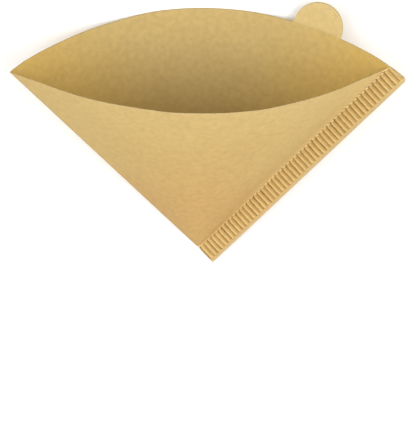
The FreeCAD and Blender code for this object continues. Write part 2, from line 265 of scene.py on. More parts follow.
@dataclass
class RimCut:
    """The cut rim of both plies, and the grip tab that stands beyond the back one.

    The humps, the swell and the proud end are the unevenness of the real cut.
    """

    pouch: Pouch
    tab_radius: float = 10.8
    tab_rise: float = 5.3
    tab_angle: float = 27.3
    tab_bend: float = 5.0
    root_fillet: float = 1.4
    root_gap: float = 0.03
    fold_end_long: Hump = Hump(0.4, -45.0, 1.0, 6.0)
    front_seam_short: Hump = Hump(0.55, 40.5, 1.0, 4.5)
    back_fold_short: Hump = Hump(0.55, -25.0, 6.0, 18.0)
    back_swell: Hump = Hump(0.5, 0.0, 40.0, 45.0)
    back_swell_turn: float = 52.0
    seam_end_proud: float = 0.8
    proud_from: float = 33.0
    proud_across: Span = (0.5, 7.0)

    def __post_init__(self) -> None:
        """Work out the rim's arc in the flat sheet."""
        slant = self.pouch.slant
        self.height = slant - self.pouch.rim_dip
        short = self.height - slant * math.cos(self.pouch.half)
        self.drop = (slant ** 2 - self.height ** 2) / (2 * short)
        self.radius = self.height + self.drop

    def distance(self, angle: float, ply: Ply = Ply.BACK) -> float:
        """Find the rim on a straight line through the apex.

        Args:
            angle: The line's flat angle from the middle of its panel, in radians.
            ply: Which ply's cut, because each is a little uneven in its own way.

        Returns:
            How far the rim lies from the apex.
        """
        across = self.drop * math.sin(angle)
        rim = math.sqrt(self.radius ** 2 - across ** 2) - self.drop * math.cos(angle)
        turn = math.degrees(angle)
        rim += self.fold_end_long.at(turn)
        if ply is Ply.FRONT:
            return rim - self.front_seam_short.at(turn)
        rim += self.back_swell.at(turn) * math.cos(2 * math.pi * turn / self.back_swell_turn)
        return rim - self.back_fold_short.at(turn) + self.proud(angle)

    def proud(self, angle: float) -> float:
        """Return how far the back ply stands out beyond the front one at a flat angle."""
        past = max(math.degrees(angle) - self.proud_from, 0.0)
        return self.seam_end_proud * (past / (self.pouch.panel_angle / 2 - self.proud_from)) ** 2

    def _arc_end(self, across: float, radius: float) -> float:
        """Return where an arc about the rim's centre meets a line along the seam."""
        level = across - self.drop * math.sin(self.pouch.half)
        return math.sqrt(radius ** 2 - level ** 2) - self.drop * math.cos(self.pouch.half)

    def seam_end(self, across: float, ply: Ply) -> float:
        """Find the seam's cut end, with its rounded outer corner.

        Args:
            across: The distance from the seam's foot.
            ply: Which ply's cut, because the back one stands out beyond the front one.

        Returns:
            How far along the seam the cut end lies from the apex.
        """
        end = self._arc_end(across, self.radius)
        rounding = self.pouch.seam_corner
        corner = self.pouch.seam_width - rounding
        if across > corner:
            rise = min(across - corner, rounding)
            middle = self._arc_end(corner, self.radius - rounding)
            end = min(middle + math.sqrt(rounding ** 2 - rise ** 2), end)
        if ply is Ply.BACK:
            end += self.seam_end_proud * (1 - smooth(across, *self.proud_across))
        return end

    def tab_point(self, turn: float) -> tuple[float, float]:
        """Find a point on the tab's round end.

        Args:
            turn: How far round the end the point is, in radians from its seam side.

        Returns:
            The point's flat angle and its distance from the apex.
        """
        forward = self.height + self.tab_rise + self.tab_radius * math.sin(turn)
        sideways = self.tab_radius * math.cos(turn)
        angle = math.radians(self.tab_angle) + math.atan2(sideways, forward)
        return angle, math.hypot(forward, sideways)

    def tab_outline(self, steps: int, root_steps: int) -> list[tuple[float, float]]:
        """Walk round the tab from its seam side to its fold side.

        Args:
            steps: How many points the round end gets.
            root_steps: How many points the small round at its root gets.

        Returns:
            Flat angle and distance of each point, the fold-side root at the end.
        """
        def beyond(turn: float) -> float:
            """Return how far a point of the round end is beyond the rim."""
            angle, distance = self.tab_point(turn)
            return distance - self.distance(angle)

        start = solve(beyond, 0.0, math.pi / 2)
        outline = [self.tab_point(turn) for turn in spread(start, math.pi, steps)]
        angle, distance = self.tab_point(math.pi)
        outline.append((angle, distance))
        for turn in spread(0.0, math.pi / 2, root_steps):
            inward = self.root_fillet * (1 - math.cos(turn))
            up = self.root_fillet * (1 - math.sin(turn))
            root = angle - (inward + self.root_gap) / distance
            outline.append((root, self.distance(root) + min(up, distance - self.distance(angle))))
        return outline


@dataclass
class CrimpedSeam:
    """The two plies pressed together beyond the seam's foot, with a row of crimps."""

    pouch: Pouch
    turn: float = 30.0
    gap: float = 0.03
    foot_gap: float = 0.006
    foot_gap_from: float = 1.0
    pitch: float = 2.33
    crimp_length: float = 7.17
    inset: float = 0.18
    ridge_foot: float = 0.66
    ridge_crest: float = 0.26
    ridge_height: float = 0.45
    start_ramp: float = 0.5
    ramp: float = 0.36

    def set_out(self, back: BackPanel) -> None:
        """Work out the directions along, across and through the seam.

        Args:
            back: The back panel, whose edge is the seam's foot.
        """
        half = math.radians(self.pouch.mouth_angle) / 2
        turn = math.radians(self.turn)
        self.foot = back.line(self.pouch.half)[0]
        bisector = Vector((0.0, self.foot.y, self.foot.z)).normalized()
        backward = Vector((0.0, bisector.z, -bisector.y))
        level = SIDE * math.cos(half) - bisector * math.sin(half)
        self.across = level * math.cos(turn) - backward * math.sin(turn)
        self.normal = self.foot.cross(self.across).normalized()

    @property
    def crimps(self) -> int:
        """How many crimps fit along the seam."""
        return math.floor(self.pouch.slant / self.pitch)

    @property
    def crimps_end(self) -> float:
        """How far along the seam the last crimp ends."""
        return self.crimps * self.pitch

    def ridge(self, along: float, across: float) -> float:
        """Find how high the crimps stand toward the front at a place on the seam.

        Args:
            along: The distance from the apex along the seam.
            across: The distance from the seam's foot.

        Returns:
            The height.
        """
        if along > self.crimps_end:
            return 0.0
        offset = abs(along % self.pitch - self.pitch / 2)
        profile = 1 - smooth(offset, self.ridge_crest, self.ridge_foot)
        start = smooth(across, self.inset, self.inset + self.start_ramp)
        end = self.inset + self.crimp_length
        return self.ridge_height * profile * start * (1 - smooth(across, end - self.ramp, end))


@dataclass(frozen=True)
class Waviness:
    """How soft paper leaves its exact bend: broad and narrow waves, a dent and a swelling.

    The fades are flat angles from the middle of a panel.
    """

    height: float = 0.22
    broad: float = 26.0
    narrow: float = 9.0
    narrow_share: float = 0.35
    seed: Triple = (3.1, 7.7, 11.0)
    edge_fade: Span = (36.0, 44.5)
    belly_fade: Span = (16.0, 25.0)
    fold_side_dent: Hump = Hump(0.78, -25.0, 8.0, 20.0)
    seam_side_swelling: Hump = Hump(0.3, 10.0, 2.0, 12.0)

    def lift(self, ply: Ply, angle: float, place: Vector) -> float:
        """Find how far a point near the rim is lifted out of its panel.

        Args:
            ply: The point's ply. The back one stays flat where it lies on the table.
            angle: Its flat angle from the middle of the panel, in radians.
            place: Its place from the apex.

        Returns:
            The lift along the outward normal.
        """
        turn = math.degrees(angle)
        fade = 1 - smooth(abs(turn), *self.edge_fade)
        if ply is Ply.BACK:
            fade *= smooth(abs(turn), *self.belly_fade)
        seed = Vector((self.seed[0], self.seed[1], self.seed[2] * ply.value))
        wave = noise.noise(place / self.broad + seed)
        wave += self.narrow_share * noise.noise(place / self.narrow + seed)
        lift = wave * self.height * fade
        if ply is Ply.FRONT:
            lift += self.seam_side_swelling.at(turn) - self.fold_side_dent.at(turn)
        return lift


@dataclass(frozen=True)
class Fineness:
    """How many columns and rows each stretch of the blank's grid gets."""

    crimp_start: int = 4
    crimp_middle: int = 4
    crimp_stop: int = 3
    seam_corner: int = 6
    seam_side: int = 8
    tab_end: int = 28
    tab_root: int = 6
    fold_side: int = 34
    front: int = 44
    fold_step: float = 0.3
    rows_per_crimp: int = 2
    cuts_per_row: int = 5
    rim_rows: int = 12
    rows_before_tab: float = 0.25


@dataclass
class Column:
    """One column of the blank's grid, from the apex to the cut edge."""

    ply: Ply
    zone: Zone
    angle: float
    across: float = 0.0
    end: float = 0.0


@dataclass
class Spot:
    """Where a point of the sheet goes, and what the paper's finish has to know about it."""

    place: Vector
    flat: Vector
    edge_gap: float
    past_rim: float


@dataclass
class PaperFilter:
    """The whole sheet: back and front panel, fold, crimped seam and grip tab."""

    pouch: Pouch
    rim: RimCut
    seam: CrimpedSeam
    waviness: Waviness = Waviness()
    fineness: Fineness = Fineness()
    weld: float = 0.001
    name: str = "paper_filter_sheet"
    columns: list[Column] = field(default_factory=list)

    def __post_init__(self) -> None:
        """Work out the panels and list the columns of the grid."""
        self.back = BackPanel(self.pouch)
        self.front = FrontPanel(self.pouch, self.back)
        self.seam.set_out(self.back)
        self.rows = self.fineness.rows_per_crimp * self.seam.crimps
        self.margin = self.pouch.slant - self.seam.crimps_end
        seam_columns = self._seam_columns()
        for across in reversed(seam_columns):
            self.columns.append(Column(Ply.BACK, Zone.SEAM, self.pouch.half, across))
        self.columns += self._back_columns()
        self.columns += self._front_columns()
        for across in seam_columns:
            self.columns.append(Column(Ply.FRONT, Zone.SEAM, self.pouch.half, across))

    def _seam_columns(self) -> list[float]:
        """List the seam's columns.

        Returns:
            Their distances from the seam's foot, from near it outward.
        """
        seam, fineness = self.seam, self.fineness
        width, corner = self.pouch.seam_width, self.pouch.seam_corner
        risen = seam.inset + seam.start_ramp
        end = seam.inset + seam.crimp_length
        places = spread(seam.inset, risen, fineness.crimp_start)
        places += spread(risen, end - seam.ramp, fineness.crimp_middle)
        places += spread(end - seam.ramp, end, fineness.crimp_stop)
        first = math.asin(1 - (width - end) / corner)
        for turn in spread(first, math.pi / 2, fineness.seam_corner):
            places.append(width - corner * (1 - math.sin(turn)))
        return places + [width]

    def _back_columns(self) -> list[Column]:
        """List the back panel's columns, with two close ones beside the fold.

        Returns:
            The columns from the seam to the fold, the fold itself left out.
        """
        half, fineness = self.pouch.half, self.fineness
        step = math.radians(fineness.fold_step)
        outline = self.rim.tab_outline(fineness.tab_end, fineness.tab_root)
        first, last = outline[0][0], outline[-1][0]
        seam_side = spread(half, first, fineness.seam_side)
        fold_side = spread(last - step / 2, -half, fineness.fold_side)[:-1]
        fold_side += [-half + 3 * step, -half + step]
        columns = [Column(Ply.BACK, Zone.PANEL, angle) for angle in seam_side]
        columns += [Column(Ply.BACK, Zone.TAB, angle, end=end) for angle, end in outline]
        return columns + [Column(Ply.BACK, Zone.PANEL, angle) for angle in fold_side]

    def _front_columns(self) -> list[Column]:
        """List the front panel's columns, with two close ones at the fold.

        Returns:
            The columns from the fold to the seam's foot.
        """
        half = self.pouch.half
        step = math.radians(self.fineness.fold_step)
        angles = [-half, -half + step]
        angles += spread(-half + 3 * step, half, self.fineness.front) + [half]
        return [Column(Ply.FRONT, Zone.PANEL, angle) for angle in angles]

    def _distance(self, column: Column, row: float) -> float:
        """Find how far from the apex a point of a panel is.

        Args:
            column: The point's column.
            row: Its row, from the apex.

        Returns:
            The distance in the flat sheet.
        """
        rim = self.rim.distance(column.angle, column.ply)
        margin = self.margin
        if column.ply is Ply.BACK:
            margin += self.rim.proud(column.angle)
        if row <= self.rows:
            return (rim - margin) * row / self.rows
        share = (row - self.rows) / self.fineness.rim_rows
        if column.zone is not Zone.TAB:
            return rim - margin * (1 - share)
        root = self.fineness.rows_before_tab
        if share <= root:
            return rim - margin * (1 - share / root)
        return rim + (column.end - rim) * (share - root) / (1 - root)

    def _panel_spot(self, column: Column, row: float) -> Spot:
        """Place a point of a panel or of the tab.

        Args:
            column: The point's column.
            row: Its row, from the apex.

        Returns:
            The bent point.
        """
        panel = self.back if column.ply is Ply.BACK else self.front
        direction, normal = panel.line(column.angle)
        distance = self._distance(column, row)
        rim = self.rim.distance(column.angle, column.ply)
        place = direction * min(distance, rim)
        if distance > rim:
            bend = math.radians(self.rim.tab_bend)
            place += (direction * math.cos(bend) + normal * math.sin(bend)) * (distance - rim)
        lift = self.waviness.lift(column.ply, column.angle, place)
        place += normal * (lift * distance / self.pouch.slant)
        if abs(column.angle - self.pouch.half) < SAME_ANGLE:
            place += normal * self.seam.foot_gap * min(distance / self.seam.foot_gap_from, 1.0)
        from_seam = self.pouch.half - column.angle
        flat = Vector((distance * math.cos(from_seam), -distance * math.sin(from_seam), 0.0))
        end = column.end if column.zone is Zone.TAB else rim
        return Spot(place, flat, end - distance, distance - rim)

    def _seam_spot(self, column: Column, row: float) -> Spot:
        """Place a point of the seam.

        Args:
            column: The point's column.
            row: Its row, from the apex.

        Returns:
            The crimped point, which is never past the rim.
        """
        seam = self.seam
        end = self.rim.seam_end(column.across, column.ply)
        if row <= self.rows:
            along = seam.crimps_end * row / self.rows
        else:
            share = (row - self.rows) / self.fineness.rim_rows
            along = seam.crimps_end + (end - seam.crimps_end) * share
        side = -1 if column.ply is Ply.FRONT else 1
        through = side * seam.gap / 2 - seam.ridge(along, column.across)
        place = seam.foot * along + seam.across * column.across + seam.normal * through
        flat = Vector((along, column.across, 0.0))
        edge_gap = min(end - along, self.pouch.seam_width - column.across)
        return Spot(place, flat, edge_gap, -1.0)

    def build(self) -> bpy.types.Object:
        """Bend and crimp a grid into the pouch and give it the paper's thickness.

        Returns:
            The sheet, tied to the frame and still without its finish.
        """
        bm = bmesh.new()
        last_column = len(self.columns) - 1
        last_row = self.rows + self.fineness.rim_rows
        bmesh.ops.create_grid(bm, x_segments=last_column, y_segments=last_row, size=HALF_CELL)
        bmesh.ops.translate(bm, verts=bm.verts, vec=(HALF_CELL, HALF_CELL, 0.0))
        bmesh.ops.scale(bm, verts=bm.verts, vec=(last_column, last_row, 1.0))
        self._cut_rows(bm)
        self._bend(bm)
        bmesh.ops.remove_doubles(bm, verts=bm.verts, dist=self.weld * MM)
        return self._finish(bm)

    def _cut_rows(self, bm: bmesh.types.BMesh) -> None:
        """Cut the seam's cells into finer rows, so that each crimp gets its round flanks.

        Args:
            bm: The flat grid, whose X counts the columns and whose Y counts the rows.
        """
        inner = [n for n, column in enumerate(self.columns) if column.zone is not Zone.SEAM]
        first, last = inner[0], inner[-1]

        def fine(edge: bmesh.types.BMEdge) -> bool:
            """Say whether an edge is cut.

            Args:
                edge: An edge of the grid.

            Returns:
                True for the upright edges of the seam's columns, up to the last crimp.
            """
            low, high = sorted(vert.co.y for vert in edge.verts)
            column = edge.verts[0].co.x
            upright = abs(column - edge.verts[1].co.x) < HALF_CELL < high - low
            in_seam = column < first + HALF_CELL or column > last - HALF_CELL
            return upright and in_seam and high < self.rows + HALF_CELL

        edges = [edge for edge in bm.edges if fine(edge)]
        cuts = self.fineness.cuts_per_row
        bmesh.ops.subdivide_edges(bm, edges=edges, cuts=cuts, use_grid_fill=True)

    def _bend(self, bm: bmesh.types.BMesh) -> None:
        """Move the grid's points to their places and note what the finish has to know.

        Args:
            bm: The flat grid, whose X counts the columns and whose Y counts the rows.
        """
        flat_layer = bm.verts.layers.float_vector.new("flat_place")
        edge_layer = bm.verts.layers.float.new("edge_gap")
        past_layer = bm.verts.layers.float.new("past_rim")
        fold_layer = bm.verts.layers.float.new("fold_gap")
        for vert in bm.verts:
            column = self.columns[round(vert.co.x)]
            find = self._seam_spot if column.zone is Zone.SEAM else self._panel_spot
            spot = find(column, vert.co.y)
            spot.flat.z = column.ply.value
            vert[flat_layer] = spot.flat
            vert[edge_layer] = spot.edge_gap
            vert[past_layer] = spot.past_rim
            vert[fold_layer] = spot.flat.length * math.sin(self.pouch.half + column.angle)
            vert.co = (self.pouch.apex + spot.place) * MM

    def _finish(self, bm: bmesh.types.BMesh) -> bpy.types.Object:
        """Make the object, thicken the sheet and tie it to the frame.

        Args:
            bm: The bent sheet, which is freed.

        Returns:
            The sheet's object.
        """
        for face in bm.faces:
            face.smooth = True
        mesh = bpy.data.meshes.new(self.name)
        bm.to_mesh(mesh)
        bm.free()
        sheet = bpy.data.objects.new(self.name, mesh)
        bpy.context.collection.objects.link(sheet)
        wall = sheet.modifiers.new("paper_thickness", "SOLIDIFY")
        wall.thickness = self.pouch.paper * MM
        wall.offset = 1.0
        wall.use_rim = True
        wall.material_offset = 1
        wall.material_offset_rim = 2
        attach(sheet, "root")
        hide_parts("paper_filter")
        return sheet

    def dress(self, sheet: bpy.types.Object) -> None:
        """Give the sheet its finishes: outside, inside and cut edge, in the wall's order.

        Args:
            sheet: The sheet's object.
        """
        grain = PaperGrain().make()
        crimps = CrimpMarks(self.seam).make()
        sheet.data.materials.append(CrepedPaper().make(grain, crimps))
        sheet.data.materials.append(CrepedPaper.inside().make(grain, crimps))
        sheet.data.materials.append(ShadedCutEdge().make(grain))


@dataclass
class Board:
    """Adds nodes to a node tree and joins them."""

    tree: bpy.types.NodeTree

    def add(self, kind: str, **settings: object) -> bpy.types.Node:
        """Add a node.

        Args:
            kind: The node's type.
            **settings: Values for its own properties.

        Returns:
            The node.
        """
        node = self.tree.nodes.new(kind)
        for name, value in settings.items():
            setattr(node, name, value)
        return node

    def feed(self, socket: Socket, value: Value) -> None:
        """Join an output to an input, or set the input to a plain value.

        Args:
            socket: The input.
            value: The output or the plain value.
        """
        if isinstance(value, Socket):
            self.tree.links.new(value, socket)
        else:
            socket.default_value = value

    def attribute(self, name: str, output: str = "Fac") -> Socket:
        """Return an output of one of the sheet's own attributes."""
        return self.add("ShaderNodeAttribute", attribute_name=name).outputs[output]

    def parts(self, vector: Value) -> bpy.types.bpy_prop_collection:
        """Split a vector.

        Args:
            vector: The vector.

        Returns:
            The outputs X, Y and Z.
        """
        node = self.add("ShaderNodeSeparateXYZ")
        self.feed(node.inputs[0], vector)
        return node.outputs

    def calculate(self, operation: str, *values: Value) -> Socket:
        """Add a Math node.

        Args:
            operation: What it does.
            *values: What it does it with.

        Returns:
            The result.
        """
        node = self.add("ShaderNodeMath", operation=operation)
        for socket, value in zip(node.inputs, values):
            self.feed(socket, value)
        return node.outputs[0]

    def times(self, first: Value, second: Value) -> Socket:
        """Multiply two values."""
        return self.calculate("MULTIPLY", first, second)

    def plus(self, first: Value, second: Value) -> Socket:
        """Add two values."""
        return self.calculate("ADD", first, second)

    def minus(self, first: Value, second: Value) -> Socket:
        """Take the second value from the first."""
        return self.calculate("SUBTRACT", first, second)

    def step(self, value: Value, low: float, high: float) -> Socket:
        """Add a soft step.

        Args:
            value: What is stepped.
            low: Where the step is 0.
            high: Where it is 1.

        Returns:
            The step.
        """
        node = self.add("ShaderNodeMapRange", interpolation_type="SMOOTHSTEP")
        self.feed(node.inputs["Value"], value)
        self.feed(node.inputs["From Min"], low)
        self.feed(node.inputs["From Max"], high)
        return node.outputs["Result"]

    def fall(self, value: Value, low: float, high: float) -> Socket:
        """Add a soft step from 1 at low to 0 at high."""
        return self.minus(1.0, self.step(value, low, high))

    def beside(self, value: Value, place: float, core: float, edge: float) -> Socket:
        """Add a stripe that is full up to core away from a place, and gone from edge away."""
        away = self.calculate("ABSOLUTE", self.minus(value, place))
        return self.fall(away, core, edge)

    def blend(self, factor: Value, first: Value, second: Value, mode: str = "MIX") -> Socket:
        """Add a colour mix.

        Args:
            factor: How much of the second colour is laid on.
            first: The first colour.
            second: The second colour.
            mode: How they are mixed.

        Returns:
            The mixed colour.
        """
        node = self.add("ShaderNodeMix", data_type="RGBA", blend_type=mode)
        self.feed(node.inputs["Factor"], factor)
        self.feed(node.inputs[6], first)
        self.feed(node.inputs[7], second)
        return node.outputs[2]

    def cloud(self, place: Value, scale: Value, detail: float = 2.0,
              roughness: float = 0.5) -> Socket:
        """Add a noise texture.

        Args:
            place: Where it is read.
            scale: How fine it is.
            detail: How many finer layers it has.
            roughness: How strong those are.

        Returns:
            The noise's value.
        """
        node = self.add("ShaderNodeTexNoise")
        self.feed(node.inputs["Vector"], place)
        self.feed(node.inputs["Scale"], scale)
        self.feed(node.inputs["Detail"], detail)
        self.feed(node.inputs["Roughness"], roughness)
        return node.outputs[0]

    def relief(self, shader: bpy.types.Node, height: Value, strength: float, depth: float) -> None:
        """Give a shader a fine relief.

        Args:
            shader: The shader.
            height: How high the surface is.
            strength: How strongly the relief shows.
            depth: How deep it is, in millimetres.
        """
        bump = self.add("ShaderNodeBump")
        bump.inputs["Strength"].default_value = strength
        bump.inputs["Distance"].default_value = depth * MM
        self.feed(bump.inputs["Height"], height)
        self.feed(shader.inputs["Normal"], bump.outputs["Normal"])


def start_group(name: str, inputs: dict[str, float], outputs: tuple[str, ...]) -> Board:
    """Start a node group that puts out masks and values.

    Args:
        name: The group's name.
        inputs: The names of its inputs, each with its usual value.
        outputs: The names of its outputs.

    Returns:
        The group's board, still empty.
    """
    tree = bpy.data.node_groups.new(name, "ShaderNodeTree")
    for output in outputs:
        tree.interface.new_socket(output, in_out="OUTPUT", socket_type="NodeSocketFloat")
    for label, value in inputs.items():
        socket = tree.interface.new_socket(label, in_out="INPUT", socket_type="NodeSocketFloat")
        socket.default_value = value
    return Board(tree)


def start_material(name: str, roughness: float,
                   specular: float) -> tuple[bpy.types.Material, Board, bpy.types.Node]:
    """Start a material whose roughness and gloss are the same all over.

    Args:
        name: The material's name.
        roughness: How matte it is.
        specular: How strongly it reflects.

    Returns:
        The material, its board and its shader.
    """
    material = bpy.data.materials.new(name)
    material.use_nodes = True
    shader = material.node_tree.nodes["Principled BSDF"]
    shader.inputs["Roughness"].default_value = roughness
    shader.inputs["Specular IOR Level"].default_value = specular
    return material, Board(material.node_tree), shader


@dataclass(frozen=True)
class PaperGrain:
    """The sheet's clouds, creping, fibres and relief, which its faces and cut edge share."""

    name: str = "paper_grain"
    mottle_scale: float = 420.0
    mottle_roughness: float = 0.55
    grain_scale: float = 1300.0
    grain_roughness: float = 0.6
    cloud_scale: float = 55.0
    cloud_span: Span = (0.35, 0.65)
    fibre_turns: Triple = (25.0, 80.0, 140.0)
    fibre_stretch: Triple = (0.5, 7.0, 9.0)
    fibre_span: Span = (0.62, 0.75)
    grain_relief: float = 0.5
    fibre_relief: float = 0.35

    def make(self) -> bpy.types.NodeTree:
        """Make the group.

        Returns:
            The group.
        """
        board = start_group(self.name, {"Mottle Scale": self.mottle_scale},
                            ("Clouds", "Mottle", "Fibres", "Height"))
        source = board.add("NodeGroupInput")
        target = board.add("NodeGroupOutput")
        place = board.add("ShaderNodeTexCoord").outputs["Object"]
        fibres = self._fibres(board)
        grain = board.cloud(place, self.grain_scale, roughness=self.grain_roughness)
        scale = source.outputs["Mottle Scale"]
        creping = board.cloud(place, scale, roughness=self.mottle_roughness)
        clouds = board.cloud(place, self.cloud_scale, detail=3.0)
        height = board.plus(board.times(grain, self.grain_relief), creping)
        height = board.plus(height, board.times(fibres, self.fibre_relief))
        board.feed(target.inputs["Clouds"], board.step(clouds, *self.cloud_span))
        board.feed(target.inputs["Mottle"], creping)
        board.feed(target.inputs["Fibres"], fibres)
        board.feed(target.inputs["Height"], height)
        return board.tree

    def _fibres(self, board: Board) -> Socket:
        """Lay fine fibres over the flat sheet in three directions.

        Args:
            board: The group's board.

        Returns:
            A mask of the fibres.
        """
        flat = board.attribute("flat_place", "Vector")
        layers = []
        for turn in self.fibre_turns:
            mapping = board.add("ShaderNodeMapping")
            board.feed(mapping.inputs["Vector"], flat)
            mapping.inputs["Rotation"].default_value = (0.0, 0.0, math.radians(turn))
            mapping.inputs["Scale"].default_value = self.fibre_stretch
            threads = board.cloud(mapping.outputs[0], 1.0, detail=1.0)
            layers.append(board.step(threads, *self.fibre_span))
        lower = board.calculate("MAXIMUM", layers[0], layers[1])
        return board.calculate("MAXIMUM", lower, layers[2])


@dataclass(frozen=True)
class CrimpMarks:
    """Masks of painted highlights on the crimps' crests and painted shade on their flanks, for
    both sides of the sheet.

    A stripe's three numbers are its place, from a crimp's middle toward the rim, and where its
    core and its soft edge end beside that. The start and the stop are where the crimps fade in
    from the seam's foot and out toward its edge.
    """

    seam: CrimpedSeam
    name: str = "crimp_marks"
    # The crest stripe marks a painted highlight along each crimp.
    crest: Triple = (0.36, 0.08, 0.30)
    # The near and far flank stripes mark painted shade on the crimps' flanks; the far one is
    # weaker.
    near_flank: Triple = (-0.50, 0.17, 0.46)
    far_flank: Triple = (0.86, 0.05, 0.30)
    far_strength: float = 0.4
    start: Span = (-0.1, 0.25)
    stop: Span = (-0.3, 0.1)
    # How dark each crimp's painted flank shade is, chosen at random for each crimp.
    least_flank_shade: float = 0.62
    flank_shade_range: float = 0.45
    wobble: float = 0.5
    wobble_scale: float = 0.8

    def make(self) -> bpy.types.NodeTree:
        """Make the group.

        Returns:
            The group.
        """
        board = start_group(self.name, {"Least Flank Shade": self.least_flank_shade},
                            ("Crest", "Painted Flank Shade", "Hollow"))
        source = board.add("NodeGroupInput")
        target = board.add("NodeGroupOutput")
        flat = board.attribute("flat_place", "Vector")
        place = board.parts(flat)
        along, across = place["X"], place["Y"]
        first, last = self.seam.inset, self.seam.inset + self.seam.crimp_length
        start = board.step(across, first + self.start[0], first + self.start[1])
        stop = board.fall(across, last + self.stop[0], last + self.stop[1])
        stroke = board.times(start, stop)
        count = board.calculate("FLOOR", board.calculate("DIVIDE", along, self.seam.pitch))
        chance = board.add("ShaderNodeTexWhiteNoise", noise_dimensions="1D")
        board.feed(chance.inputs["W"], count)
        flank_shade_depth = board.times(chance.outputs["Value"], self.flank_shade_range)
        flank_shade_depth = board.plus(flank_shade_depth, source.outputs["Least Flank Shade"])
        phase = board.calculate("FLOORED_MODULO", along, self.seam.pitch)
        wobble = board.times(board.cloud(flat, self.wobble_scale, detail=1.0), self.wobble)
        offset = board.minus(board.plus(phase, wobble), (self.seam.pitch + self.wobble) / 2)
        crest, near, far = [board.times(board.beside(offset, *stripe), stroke)
                            for stripe in (self.crest, self.near_flank, self.far_flank)]
        # Painted shade on the crimps' flanks.
        pressed = board.calculate("MAXIMUM", near, board.times(far, self.far_strength))
        board.feed(target.inputs["Crest"], crest)
        board.feed(target.inputs["Painted Flank Shade"], board.times(pressed, flank_shade_depth))
        board.feed(target.inputs["Hollow"], stroke)
        return board.tree


@dataclass(frozen=True)
class Tint:
    """A colour, and how much it covers of what is under it."""

    colour: Triple
    amount: float


